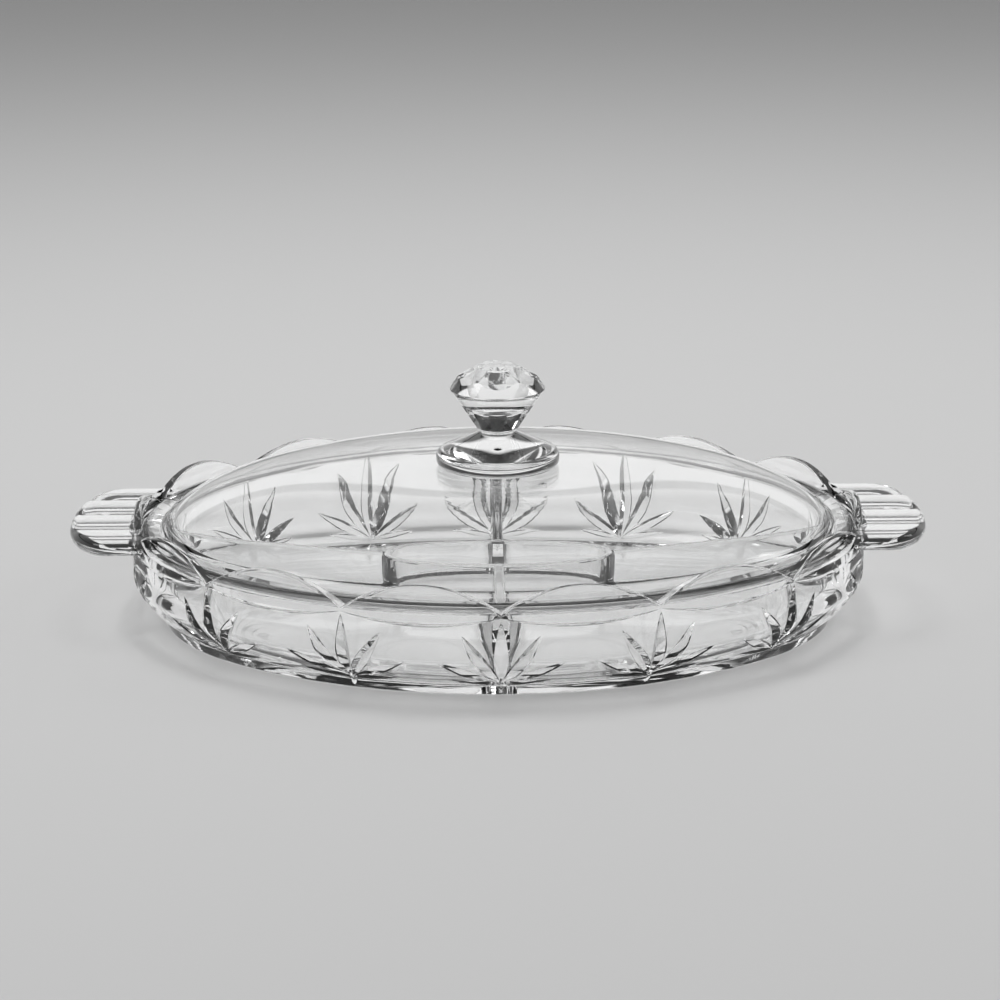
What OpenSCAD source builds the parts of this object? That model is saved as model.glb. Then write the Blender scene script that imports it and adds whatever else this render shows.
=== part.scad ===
/* [Bowl] */
// Length of the bowl over its rim, without the handles
bowl_l = 294; // [250:1:340]
// Width of the bowl over its rim
bowl_w = 230; // [205:1:250]
// Height of the rim at the low points between two scallops
rim_low_h = 35; // [34.5:0.5:40]
// How far a scallop's crest rises above those low points
scallop_rise = 9.5; // [5:0.5:14]
// Number of scallops round the rim, with one in the middle of each end
scallop_count = 14; // [10:4:18]
// Thickness of the rim wall round the lid
rim_t = 5.5; // [4.5:0.1:7]
// How far the flat bevel on a scallop's outside thins its crest
bevel_in = 2.6; // [1:0.1:3.2]
// How far the lower edge of that bevel dips below the low points
bevel_drop = 5; // [2:0.5:8]
// Thickness of the floor
floor_t = 6; // [4:0.5:8]

/* [Ledge] */
// Height of the ledge that carries the lid
ledge_h = 33; // [30:0.5:34]
// Width of that ledge
ledge_w = 7.5; // [6.5:0.5:10]

/* [Foot and cut fans] */
// Height of the plain band round the foot
foot_h = 4; // [3:0.5:6]
// How far the top of the foot band lies in from the rim
foot_in = 11.5; // [8:0.5:13]
// How much further in the band's lower edge lies
foot_draft = 1; // [0.5:0.1:2]
// Height at which the curved side reaches its full width
heel_h = 24; // [18:1:28]
// Depth to which a fan's leaves are cut into the side
fan_cut = 2.2; // [0.4:0.1:3]

/* [Compartments] */
// Length of the well in the middle
well_l = 92; // [70:1:110]
// Width of the well in the middle
well_w = 42; // [32:1:56]
// Thickness of the well's wall
well_t = 4; // [3:0.5:6]
// Height of the well's top edge above the table
well_h = 25; // [18:0.5:28]
// Thickness of a divider
divider_t = 4.4; // [3:0.2:7]
// Height of a divider where it reaches the bowl's side
divider_h = 30.5; // [26:0.5:32]

/* [Handles] */
// How far a handle's tip stands out from the bowl
handle_reach = 23; // [16:1:32]
// Width of a handle at its widest
handle_w = 80; // [66:1:90]
// Height of a handle's underside above the table
handle_low_h = 32.5; // [31:0.5:34]
// Thickness of a handle in the grooves between its ribs
handle_t = 5.4; // [3:0.2:6]
// How far the ribs stand over those grooves
rib_h = 1.3; // [0.6:0.1:2.6]
// Number of ribs on a handle
rib_count = 4; // [2:1:8]

/* [Lid] */
// Gap between the lid and the tray, beside it and under it
lid_gap = 0.3; // [0.2:0.1:1]
// Thickness of the lid's flat edge
flange_t = 3.6; // [2.5:0.1:5]
// Width of the flat edge outside the dome
flange_w = 8; // [5:0.5:9]
// Thickness of the dome's glass
dome_t = 4; // [3:0.5:6]
// Rise of the dome above the flat edge
dome_rise = 21.5; // [14:0.5:32]
// Radius of the flat seat under the knob
seat_r = 26; // [25:0.5:34]

/* [Knob] */
// Radius of the knob's foot
knob_foot_r = 24.5; // [20:0.5:25]
// Height of the foot's rounded edge
knob_foot_h = 6.4; // [4:0.2:8]
// Height of the foot's sloping top, up to the neck
knob_slope_h = 7.2; // [5:0.2:12]
// Radius of the neck
neck_r = 6.8; // [5:0.2:9]
// Height of the neck
neck_h = 1.8; // [1:0.2:6]
// Radius of the jewel at its girdle
jewel_r = 18.8; // [14:0.2:22]
// Height of the jewel below its girdle
pavilion_h = 15.6; // [10:0.2:20]
// Height of the girdle band
girdle_h = 0.6; // [0.4:0.2:2]
// Height of the cut crown
crown_h = 9.4; // [6:0.2:13]

/* [Hidden] */
$fn = 64;
// One overrun serves every cut
cut = 1;
tray_glass = [0.80, 0.88, 0.90];
lid_glass = [0.86, 0.92, 0.95];
knob_glass = [0.92, 0.96, 0.98];

// The plan of the bowl is an oval of four arcs, so a parallel line inside it is four arcs too
half_l = bowl_l / 2;
half_w = bowl_w / 2;
// The end arcs get tighter as the bowl gets longer for its width
end_round_power = 0.686;
end_r = half_w * pow(half_w / half_l, end_round_power);
side_r = (pow(half_l - end_r, 2) + half_w * half_w - end_r * end_r) / (2 * (half_w - end_r));
side_turn = atan2(half_l - end_r, side_r - half_w);
side_arc = side_r * side_turn;
quarter_arc = side_arc + end_r * (90 - side_turn);

// Direction of the oval's normal, in degrees from the width axis, at a share of a quarter
function turn_at(share) =
    let (along = share * quarter_arc)
    along < side_arc ? along / side_r : side_turn + (along - side_arc) / end_r;

// Quarter of the oval that a share of the whole way round lies in, from the middle of the front
function quarter_of(u) = floor(4 * (u - floor(u)));
function turn_of(u) =
    let (quarter = quarter_of(u), share = 4 * (u - floor(u)) - quarter)
    turn_at(quarter % 2 == 0 ? share : 1 - share);
function side_x(u) = quarter_of(u) < 2 ? 1 : -1;
function side_y(u) = quarter_of(u) == 0 || quarter_of(u) == 3 ? -1 : 1;
function normal(u) = [side_x(u) * sin(turn_of(u)), side_y(u) * cos(turn_of(u))];

// Point of the oval, moved in by an inset
function oval(u, inset) =
    let (turn = turn_of(u))
    turn < side_turn
    ? [side_x(u) * (side_r - inset) * sin(turn),
       side_y(u) * ((side_r - inset) * cos(turn) - (side_r - half_w))]
    : [side_x(u) * (half_l - end_r + (end_r - inset) * sin(turn)),
       side_y(u) * (end_r - inset) * cos(turn)];
function oval_3d(u, inset, z) = concat(oval(u, inset), [z]);

// Triangles between rings of as many points each, and between the last and first ring if looped
function band_faces(rings, count, looped) =
    [for (k = [0 : rings - (looped ? 1 : 2)]) for (i = [0 : count - 1])
        let (next = (k + 1) % rings, j = (i + 1) % count)
        each [[k * count + i, next * count + j, k * count + j],
              [k * count + i, next * count + i, next * count + j]]];
function joined(lists) = [for (list = lists) each list];

// A closed ring of glass, from rings of points that go round its section
module ring_skin(rings) {
    polyhedron(joined(rings), band_faces(len(rings), len(rings[0]), true));
}

// Rim: scallops are arcs between low points, and a bevel thins each crest from outside
columns_per_scallop = 16;
columns = scallop_count * columns_per_scallop;
function column_shares() = [for (i = [0 : columns - 1]) i / columns];
function scallop_share(u) = scallop_count * u - floor(scallop_count * u);
function arch(u) = 4 * scallop_share(u) * (1 - scallop_share(u));
rim_edge = 1.2;
function crest_z(u) = rim_low_h + scallop_rise * arch(u);
function bevel_z(u) = rim_low_h - rim_edge - bevel_drop * arch(u);
bevel_middle_share = 0.55;
function bevel_middle_z(u) = bevel_z(u) + bevel_middle_share * (crest_z(u) - bevel_z(u));
// The scallop behind a handle keeps its full thickness as far up as the handle reaches
function behind_handle(u) = abs(abs(u - 0.5) - 0.25) < 0.5 / scallop_count;
function bevel_middle_in(u) = behind_handle(u) ? 0 : bevel_middle_share * bevel_in * arch(u);

// Side: the foot band, then a curved heel that carries the fans
heel_power = 2.2;
function heel_in(z) = z > heel_h ? 0 : foot_in * pow((heel_h - z) / (heel_h - foot_h), heel_power);
// Leaves spread from a narrow root on the foot band: even columns run along the bottoms of the
// cuts and odd ones along the edges between them
fan_row_shares = [0, 0.08, 0.19, 0.32, 0.46, 0.6, 0.74, 0.88, 1];
fan_root_share = 0.22;
fan_spread_power = 0.75;
fan_edge_power = 16;
fan_tip_share = 0.35;
fan_crown_power = 0.6;
function fan_cut_at(i, across, up) =
    let (tip = 1 - fan_tip_share * abs(across), lengthwise = sin(180 * min(1, up / tip)))
    i % 2 == 1 || abs(across) == 1 ? 0 : fan_cut * pow(max(0, lengthwise), fan_crown_power);
function fan_point(i, up) =
    let (u = i / columns,
         middle = floor(scallop_count * u + 0.5),
         across = 2 * (scallop_count * u - middle),
         spread = fan_root_share + (1 - fan_root_share) * pow(up, fan_spread_power),
         bent = across * (spread + (1 - spread) * pow(abs(across), fan_edge_power)),
         v = (middle + bent / 2) / scallop_count + 1,
         z = foot_h + up * (bevel_z(v) - foot_h))
    oval_3d(v, heel_in(z) + fan_cut_at(i, across, up), z);

// Inside: the pocket for the lid, the ledge, and a side that curves into the floor
ledge_in = rim_t + ledge_w;
side_curve_w = 7;
floor_in = ledge_in + side_curve_w;
// Each row is a share of the way down from ledge to floor, and a share of the way in
inside_shares = [[0, 0], [0.2, 0.07], [0.5, 0.2], [0.76, 0.42], [0.92, 0.72], [1, 1]];
function inside_z(row) = ledge_h - row[0] * (ledge_h - floor_t);
function inside_in(row) = ledge_in + row[1] * (floor_in - ledge_in);
function inside_in_at(z) =
    lookup(-z, [for (row = inside_shares) [-inside_z(row), inside_in(row)]]);

module bowl_wall() {
    shares = column_shares();
    color(tray_glass)
        ring_skin(concat(
            [[for (u = shares) oval_3d(u, foot_in + foot_draft, 0)]],
            [for (up = fan_row_shares) [for (i = [0 : columns - 1]) fan_point(i, up)]],
            [[for (u = shares) oval_3d(u, bevel_middle_in(u), bevel_middle_z(u))]],
            [[for (u = shares) oval_3d(u, bevel_in * arch(u), crest_z(u))]],
            [[for (u = shares) oval_3d(u, rim_t, crest_z(u))]],
            [[for (u = shares) oval_3d(u, rim_t, ledge_h)]],
            [for (row = inside_shares) [for (u = shares) oval_3d(u, inside_in(row), inside_z(row))]],
            [[for (u = shares) oval_3d(u, floor_in, 0)]]));
}

module bowl_floor() {
    color(tray_glass)
        linear_extrude(floor_t) polygon([for (u = column_shares()) oval(u, floor_in)]);
}

// Well: an oval with slightly squared ends
well_square_power = 0.88;
well_points = 64;
function signed_power(value, power) = sign(value) * pow(abs(value), power);
function well_point(angle, inset) = [
    (well_l / 2 - inset) * signed_power(cos(angle), well_square_power),
    (well_w / 2 - inset) * signed_power(sin(angle), well_square_power)];
module well_outline(inset) {
    polygon([for (i = [0 : well_points - 1]) well_point(360 * i / well_points, inset)]);
}

module well_wall() {
    color(tray_glass)
        translate([0, 0, floor_t])
            linear_extrude(well_h - floor_t)
                difference() {
                    well_outline(0);
                    well_outline(well_t);
                }
}

// A divider runs from the well to the bowl's side along one half of an axis, and rises on the way
module divider(half_well, half_bowl) {
    side_rows = [for (row = inside_shares) if (inside_z(row) < divider_h) row];
    outline = concat(
        [[half_well - well_t, floor_t], [half_well - well_t, well_h], [half_well, well_h],
         [half_bowl - inside_in_at(divider_h), divider_h]],
        [for (row = side_rows) [half_bowl - inside_in(row), inside_z(row)]]);
    color(tray_glass)
        difference() {
            rotate([90, 0, 0]) linear_extrude(divider_t, center = true) polygon(outline);
            translate([0, 0, -cut]) linear_extrude(well_h + 2 * cut) well_outline(0);
        }
}

module front_divider() { rotate([0, 0, -90]) divider(well_w / 2, half_w); }
module back_divider() { rotate([0, 0, 90]) divider(well_w / 2, half_w); }
module left_divider() { rotate([0, 0, 180]) divider(well_l / 2, half_l); }
module right_divider() { divider(well_l / 2, half_l); }

// Handle: broad ribs run straight out along the bowl, to a tip with rounded corners
handle_lines_per_rib = 6;
handle_lines = rib_count * handle_lines_per_rib;
handle_row_shares = [0, 0.35, 0.65, 0.82, 0.93, 1];
handle_shoulder_in = 3;
handle_square_power = 3;
handle_edge_share = 0.5;
handle_tip_power = 8;
handle_side_power = 12;
rib_round_power = 0.7;
handle_end = half_l + handle_reach;
handle_shoulder = half_l - handle_shoulder_in;
// Place of a line across the handle, from -1 to 1: even on the inner ribs, closer at the sides
function handle_across(line) =
    let (rib = line / handle_lines_per_rib,
         from_side = rib_count / 2 - abs(rib - rib_count / 2),
         inwards = from_side < 1 ? from_side * from_side : from_side)
    sign(rib - rib_count / 2) * (1 - 2 * inwards / rib_count);
function handle_root_x(y) = half_l - end_r + sqrt(end_r * end_r - y * y);
function handle_tip_x(across) =
    handle_shoulder + (handle_end - handle_shoulder)
        * pow(1 - pow(abs(across), handle_square_power), 1 / handle_square_power);
function handle_place(across, out) =
    let (y = across * handle_w / 2)
    [(1 - out) * handle_root_x(y) + out * handle_tip_x(across), y];
function handle_thick(across) =
    handle_t + rib_h * pow(abs(sin(90 * rib_count * (across + 1))), rib_round_power);
// Top and bottom draw together at the tip and the sides, so the edge is round
function handle_edge(across, out) =
    handle_edge_share / 2 * max(pow(out, handle_tip_power), pow(abs(across), handle_side_power));
function handle_top(across, out) =
    concat(handle_place(across, out),
           [handle_low_h + handle_thick(across) * (1 - handle_edge(across, out))]);
function handle_bottom(across, out) =
    concat(handle_place(across, out),
           [handle_low_h + handle_thick(across) * handle_edge(across, out)]);

module right_handle() {
    // Each line across the handle is a ring: out along the top and back along the bottom
    rows = len(handle_row_shares);
    rings = [for (line = [0 : handle_lines])
        let (across = handle_across(line))
        concat([for (out = handle_row_shares) handle_top(across, out)],
               [for (k = [rows - 1 : -1 : 0]) handle_bottom(across, handle_row_shares[k])])];
    count = 2 * rows;
    last = handle_lines * count;
    caps = [for (i = [0 : rows - 2]) each [
        [i, i + 1, count - 1 - i], [i + 1, count - 2 - i, count - 1 - i],
        [last + i + 1, last + i, last + count - 1 - i],
        [last + count - 2 - i, last + i + 1, last + count - 1 - i]]];
    color(tray_glass)
        polyhedron(joined(rings), concat(band_faces(handle_lines + 1, count, false), caps));
}

module left_handle() { mirror([1, 0, 0]) right_handle(); }

// Lid: a flat edge that drops on the ledge, and a dome that turns from oval to round at its top
lid_columns = 96;
lid_low_z = ledge_h + lid_gap;
flange_z = lid_low_z + flange_t;
flange_in = rim_t + lid_gap;
dome_foot_in = flange_in + flange_w;
dome_top_z = flange_z + dome_rise;
dome_row_shares = [1, 0.985, 0.95, 0.89, 0.81, 0.7, 0.56, 0.38, 0];
dome_flat_power = 2.9;
dome_round_power = 0.75;
function lid_shares() = [for (i = [0 : lid_columns - 1]) i / lid_columns];
function dome_rise_share(out) = pow(1 - pow(out, dome_flat_power), dome_round_power);
function dome_ring(out, inset, rise) =
    [for (u = lid_shares())
        concat((1 - out) * seat_r * normal(u) + out * oval(u, dome_foot_in + inset),
               [flange_z + rise * dome_rise_share(out)])];

module lid_flange() {
    color(lid_glass)
        translate([0, 0, lid_low_z])
            linear_extrude(flange_t)
                difference() {
                    polygon([for (u = lid_shares()) oval(u, flange_in)]);
                    polygon([for (u = lid_shares()) oval(u, dome_foot_in + dome_t)]);
                }
}

module lid_dome() {
    outer = [for (out = dome_row_shares) dome_ring(out, 0, dome_rise)];
    rows = len(dome_row_shares);
    inner = [for (k = [rows - 1 : -1 : 0]) dome_ring(dome_row_shares[k], dome_t, dome_rise - dome_t)];
    points = concat(joined(outer), joined(inner),
        [[0, 0, dome_top_z], [0, 0, dome_top_z - dome_t]]);
    top = 2 * rows * lid_columns;
    outer_edge = (rows - 1) * lid_columns;
    inner_edge = rows * lid_columns;
    bottom_inner = (2 * rows - 1) * lid_columns;
    outer_faces = band_faces(rows, lid_columns, false);
    inner_faces = [for (face = outer_faces) [for (corner = face) corner + inner_edge]];
    caps = [for (i = [0 : lid_columns - 1]) let (j = (i + 1) % lid_columns) each [
        [outer_edge + i, top, outer_edge + j],
        [top + 1, inner_edge + i, inner_edge + j],
        [bottom_inner + i, j, bottom_inner + j],
        [bottom_inner + i, i, j]]];
    color(lid_glass) polyhedron(points, concat(outer_faces, inner_faces, caps));
}

// Knob: a turned foot and neck, then a jewel with a six-sided crown
knob_edge_share = 0.3;
knob_edge_r = knob_edge_share * knob_foot_h;
edge_steps = 6;
neck_flare = 0.8;
slope_top_r = neck_r + neck_flare;
knob_flat_r = knob_foot_r - knob_edge_r;
slope_curve_share = 0.95;
neck_low_z = knob_foot_h + knob_slope_h;
jewel_z = dome_top_z + neck_low_z + neck_h;
function arc_points(centre, radius, from, to, steps) =
    [for (k = [0 : steps]) let (angle = from + (to - from) * k / steps)
        centre + radius * [cos(angle), sin(angle)]];

module knob_foot() {
    outline = concat(
        [[0, 0]],
        arc_points([knob_flat_r, knob_edge_r], knob_edge_r, -90, 0, edge_steps),
        arc_points([knob_flat_r, knob_foot_h - knob_edge_r], knob_edge_r, 0, 90, edge_steps),
        [[slope_top_r, knob_foot_h + slope_curve_share * knob_slope_h],
         [neck_r, neck_low_z],
         [neck_r, neck_low_z + neck_h],
         [0, neck_low_z + neck_h]]);
    color(knob_glass) translate([0, 0, dome_top_z]) rotate_extrude() polygon(outline);
}

jewel_lip = 1.4;
pavilion_low_r = neck_r + jewel_lip;
pavilion_sides = 12;
// Where the facets under the girdle give way to a plain band
pavilion_middle_r_share = 0.74;
pavilion_middle_share = 0.59;
// Each row of the crown goes through two places, as shares of the jewel's radius and the crown's height
crown_blank_shares = [[1, 0], [0.825, 0.5]];
crown_main_shares = [[0.915, 0.27], [0.505, 0.82]];
crown_top_shares = [[0.488, 0.82], [0.308, 1]];
crown_main_sides = 6;
crown_top_sides = 12;
function share_at(shares, height_share) =
    shares[0][0] + (height_share - shares[0][1]) * (shares[1][0] - shares[0][0])
        / (shares[1][1] - shares[0][1]);

// A cone with flat sides, given by the radii of their middles
module facet_cone(h, low_r, high_r, sides) {
    to_corner = 1 / cos(180 / sides);
    cylinder(h = h, r1 = low_r * to_corner, r2 = high_r * to_corner, $fn = sides);
}

module crown_facets(shares, sides) {
    facet_cone(crown_h, jewel_r * share_at(shares, 0), jewel_r * share_at(shares, 1), sides);
}

module knob_jewel() {
    middle_r = pavilion_middle_r_share * jewel_r;
    middle_z = pavilion_middle_share * pavilion_h;
    girdle_z = pavilion_h + girdle_h;
    color(knob_glass)
        translate([0, 0, jewel_z]) {
            rotate([0, 0, 180 / pavilion_sides])
                facet_cone(middle_z, pavilion_low_r, middle_r, pavilion_sides);
            rotate_extrude()
                polygon([[0, middle_z], [middle_r, middle_z], [jewel_r, pavilion_h],
                    [jewel_r, girdle_z], [0, girdle_z]]);
            translate([0, 0, girdle_z])
                intersection() {
                    cylinder(h = crown_h, r1 = jewel_r, r2 = jewel_r * share_at(crown_blank_shares, 1));
                    crown_facets(crown_main_shares, crown_main_sides);
                    crown_facets(crown_top_shares, crown_top_sides);
                }
        }
}

bowl_wall();
bowl_floor();
well_wall();
front_divider();
back_divider();
left_divider();
right_divider();
left_handle();
right_handle();
lid_flange();
lid_dome();
knob_foot();
knob_jewel();
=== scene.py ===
# %% [markdown]
# # A covered relish tray in clear glass
# The dish has three pieces on the real object: a pressed tray with cut fans round its side, a plain
# domed lid, and a jewel-cut knob fused on the lid. Glass shows what lies behind it, and every face
# inside a piece would show too. So the tray is made here as one closed skin of glass, and the lid
# with its knob as another, in place of the plain solids of the frame that they are split into.

# %% The frame
import math

import bpy
import numpy as np
from mathutils import Matrix, Vector


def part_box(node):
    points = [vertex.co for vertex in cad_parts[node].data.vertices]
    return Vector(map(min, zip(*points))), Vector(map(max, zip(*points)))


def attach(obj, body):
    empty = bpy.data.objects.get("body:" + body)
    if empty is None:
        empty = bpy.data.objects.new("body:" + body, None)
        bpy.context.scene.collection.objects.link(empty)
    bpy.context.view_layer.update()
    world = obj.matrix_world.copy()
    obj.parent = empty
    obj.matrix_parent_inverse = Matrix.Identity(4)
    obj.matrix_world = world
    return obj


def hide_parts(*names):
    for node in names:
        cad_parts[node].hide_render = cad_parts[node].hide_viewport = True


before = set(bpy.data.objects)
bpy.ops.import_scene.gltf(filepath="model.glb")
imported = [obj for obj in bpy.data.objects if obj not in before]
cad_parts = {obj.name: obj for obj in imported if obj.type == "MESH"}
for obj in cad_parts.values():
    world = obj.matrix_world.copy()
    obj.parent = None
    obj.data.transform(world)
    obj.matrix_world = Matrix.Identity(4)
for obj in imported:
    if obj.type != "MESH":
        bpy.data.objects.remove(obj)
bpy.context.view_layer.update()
mm = 0.001

# %% [markdown]
# The sizes come from the frame where a node's box gives them: the bowl's length and width, the floor,
# the well, the ledge that the lid lies on, the handles, and the heights of the lid and the knob.
# What a box can't tell, such as a bevel or a fillet, is named in millimetres where it is needed.

# %% Sizes from the frame
TRAY_NODES = ["bowl_wall", "bowl_floor", "well_wall", "front_divider", "back_divider",
              "left_divider", "right_divider", "left_handle", "right_handle"]
LID_NODES = ["lid_flange", "lid_dome", "knob_foot", "knob_jewel"]


def box_of(node):
    """Lowest and highest corner of a node."""
    low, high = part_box(node)
    return Vector(low), Vector(high)


half_l, half_w, crest_top = box_of("bowl_wall")[1]
floor_high = box_of("bowl_floor")[1]
floor_z = floor_high.z
side_foot_in = half_l - floor_high.x
well_high = box_of("well_wall")[1]
flange_low, flange_high = box_of("lid_flange")
dome_high = box_of("lid_dome")[1]
knob_foot_high = box_of("knob_foot")[1]
jewel_low, jewel_high = box_of("knob_jewel")
handle_low, handle_high = box_of("right_handle")
divider_high = box_of("right_divider")[1]

lid_gap = 0.3 * mm
ledge_w = 7.5 * mm
rim_low_z = 35 * mm
ledge_z = flange_low.z - lid_gap
rim_t = half_l - flange_high.x - lid_gap
ledge_in = rim_t + ledge_w
print("half length, half width, crest", half_l, half_w, crest_top)

# %% [markdown]
# The plan is an oval of four arcs. A line parallel to such an oval, moved in by an inset, is four arcs
# again, so every ring of the tray and the lid comes from one function. Its first argument runs once
# round the oval from the middle of the front, as the share of its length.

# %% The oval
end_round_power = 0.686
end_r = half_w * (half_w / half_l) ** end_round_power
side_r = ((half_l - end_r) ** 2 + half_w ** 2 - end_r ** 2) / (2 * (half_w - end_r))
side_turn = math.atan2(half_l - end_r, side_r - half_w)
side_arc = side_r * side_turn
quarter_arc = side_arc + end_r * (math.pi / 2 - side_turn)
print("arcs of radius", end_r, "at the ends and", side_r, "at the sides")


def turn_of(u):
    """Direction of the normal, from the width axis, at a share of the way round."""
    share = 4 * (u - np.floor(u))
    quarter = np.minimum(np.floor(share), 3)
    share = np.where(quarter % 2 == 0, share - quarter, 1 - share + quarter)
    along = share * quarter_arc
    return np.where(along < side_arc, along / side_r, side_turn + (along - side_arc) / end_r)


def signs(u):
    """Sides of the middle, along the length and across, on which a share lies."""
    quarter = np.minimum(np.floor(4 * (u - np.floor(u))), 3)
    return np.where(quarter < 2, 1, -1), np.where((quarter == 0) | (quarter == 3), -1, 1)


def oval_at(turn, sign_x, sign_y, inset):
    """Point of the inset oval with a normal in that direction."""
    on_side = turn < side_turn
    x = np.where(on_side, (side_r - inset) * np.sin(turn),
                 half_l - end_r + (end_r - inset) * np.sin(turn))
    y = np.where(on_side, (side_r - inset) * np.cos(turn) - (side_r - half_w),
                 (end_r - inset) * np.cos(turn))
    return sign_x * x, sign_y * y


def oval(u, inset):
    """Point of the inset oval at a share of the way round."""
    return oval_at(turn_of(u), *signs(u), inset)


# %% [markdown]
# A glassworks drops a gather, a ball of hot glass, into a mould, and the mould's faces shape it. The
# pieces are made the same way here. Each starts as a ball, a UV sphere with as many columns and rings
# as the piece needs, and every ring is then moved to its place on the mould. A ball has no seam and no
# open edge, so the piece stays one closed skin. Loops pushed out by hand one after the other would
# give the same mesh, but slower, and a scallop or a fillet is easier to write as a formula.


# %% From gather to mould
def deselect():
    for obj in bpy.context.selected_objects:
        obj.select_set(False)


def select(piece):
    deselect()
    piece.select_set(True)
    bpy.context.view_layer.objects.active = piece


def turn_outwards(piece):
    """Makes all faces of a closed piece point outwards."""
    select(piece)
    bpy.ops.object.mode_set(mode="EDIT")
    bpy.ops.mesh.select_all(action="SELECT")
    bpy.ops.mesh.normals_make_consistent(inside=False)
    bpy.ops.object.mode_set(mode="OBJECT")


def pressed(name, columns, rings, material):
    """A ball whose rings, the first and last a pole, are moved to rows of x, y and z."""
    deselect()
    bpy.ops.mesh.primitive_uv_sphere_add(segments=columns, ring_count=len(rings) - 1, radius=1)
    piece = bpy.context.object
    piece.name = piece.data.name = name
    flat = np.empty(3 * len(piece.data.vertices))
    piece.data.vertices.foreach_get("co", flat)
    points = flat.reshape(-1, 3)
    ring = np.rint(np.arccos(np.clip(points[:, 2], -1, 1)) / math.pi * (len(rings) - 1)).astype(int)
    column = np.rint(np.arctan2(points[:, 1], points[:, 0]) / (2 * math.pi) * columns).astype(int)
    places = np.array([np.broadcast_to(np.stack(np.broadcast_arrays(*row), -1), (columns, 3))
                       for row in rings])
    piece.data.vertices.foreach_set("co", places[ring, column % columns].ravel())
    piece.data.materials.append(material)
    turn_outwards(piece)
    return piece


def combine(piece, other, operation):
    """Adds another closed piece, cuts it away or keeps what both share, and removes it."""
    select(piece)
    cut = piece.modifiers.new("cut", "BOOLEAN")
    cut.operation = operation
    cut.object = other
    cut.solver = "MANIFOLD"
    cut.material_mode = "TRANSFER"
    bpy.ops.object.modifier_apply(modifier=cut.name)
    bpy.data.objects.remove(other)
    return piece


# %% [markdown]
# # The finishes
# Clear glass has no colour of its own: it is a smooth Principled surface that lets all light through
# and bends it by the glass's index. Pressed faces are fire-polished and keep a faint waviness from the
# mould, which a small bump gives. Cut faces are flatter and a little less polished. Light that glass
# bends on its way from a lamp to the table takes very long to trace, so a lamp's rays go straight
# through. A face that they meet square on lets nearly all of them pass, and a steep one, which would
# bend them away, lets fewer pass. On the tray few pass, so its walls and cuts draw dark lines in a
# light shadow. On the lid and its knob more do, because their shadow falls on the glass below them.


# %% Shader helpers
class Wire:
    """A socket that adds Math nodes when it is used in a sum or a product."""

    def __init__(self, tree, socket):
        self.tree = tree
        self.socket = socket

    def math(self, operation, *values):
        out = add_node(self.tree, "ShaderNodeMath", {"operation": operation},
                       dict(enumerate(values)))
        return out[0]

    def __mul__(self, other):
        return self.math("MULTIPLY", self, other)

    __rmul__ = __mul__

    def __add__(self, other):
        return self.math("ADD", self, other)

    __radd__ = __add__


class Made:
    """A new node, whose outputs are read by name or number."""

    def __init__(self, tree, node):
        self.tree = tree
        self.node = node

    def __getitem__(self, key):
        return Wire(self.tree, self.node.outputs[key])


def set_stops(ramp, stops):
    """Gives a ramp its stops, each with a position from 0 to 1 and a grey."""
    while len(ramp.elements) < len(stops):
        ramp.elements.new(1.0)
    for element, (position, grey) in zip(ramp.elements, stops):
        element.position = position
        element.color = (grey, grey, grey, 1)


def add_node(tree, kind, settings=None, inputs=None):
    """A node with its settings, a ramp's stops among them, and the values or wires of its sockets."""
    node = tree.nodes.new(kind)
    for key, value in (settings or {}).items():
        if key == "stops":
            set_stops(node.color_ramp, value)
        else:
            setattr(node, key, value)
    for key, value in (inputs or {}).items():
        if isinstance(value, Wire):
            tree.links.new(value.socket, node.inputs[key])
        else:
            node.inputs[key].default_value = value
    return Made(tree, node)


def new_material(name):
    """An empty material and its node tree."""
    material = bpy.data.materials.new(name)
    material.use_nodes = True
    material.node_tree.nodes.clear()
    return material, material.node_tree


# %% Glass
GLASS_INDEX = 1.52
GLASS_TINT = (0.99, 0.992, 0.992, 1)
SQUARE_LIGHT = 0.98
TRAY_EDGE_LIGHT = 0.1
LID_EDGE_LIGHT = 0.85
PRESSED_FINISH = {"roughness": 0.02, "ripple_depth": 0.05 * mm}
CUT_FINISH = {"roughness": 0.03, "ripple_depth": 0.004 * mm, "ripple_size": 6 * mm}


def clear_glass(name, roughness, ripple_size, ripple_depth, edge_light):
    """Clear glass with ripples of a size and depth in metres, and the light past its steep faces."""
    material, tree = new_material(name)
    place = add_node(tree, "ShaderNodeTexCoord")["Object"]
    ripple = add_node(tree, "ShaderNodeTexNoise", {}, {
        "Vector": place, "Scale": 1 / ripple_size, "Detail": 1.0, "Roughness": 0.4})["Fac"]
    handling = add_node(tree, "ShaderNodeTexNoise", {}, {
        "Vector": place, "Scale": 60.0, "Detail": 3.0, "Roughness": 0.6})["Fac"]
    bump = add_node(tree, "ShaderNodeBump", {}, {
        "Height": ripple, "Distance": ripple_depth, "Strength": 1.0})["Normal"]
    glass = add_node(tree, "ShaderNodeBsdfPrincipled", {"distribution": "GGX"}, {
        "Base Color": GLASS_TINT,
        "Roughness": handling * roughness,
        "IOR": GLASS_INDEX,
        "Transmission Weight": 1.0,
        "Normal": bump})["BSDF"]
    straight, bent = (add_node(tree, "ShaderNodeBsdfTransparent", {}, {
        "Color": (light, light, light, 1)})["BSDF"] for light in (SQUARE_LIGHT, edge_light))
    slant = add_node(tree, "ShaderNodeLayerWeight")["Facing"]
    let_through = add_node(tree, "ShaderNodeMixShader", {}, {
        0: slant * slant, 1: straight, 2: bent})["Shader"]
    ray = add_node(tree, "ShaderNodeLightPath")
    surface = add_node(tree, "ShaderNodeMixShader", {}, {
        0: ray["Is Shadow Ray"], 1: glass, 2: let_through})["Shader"]
    add_node(tree, "ShaderNodeOutputMaterial", {}, {"Surface": surface})
    return material


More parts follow.
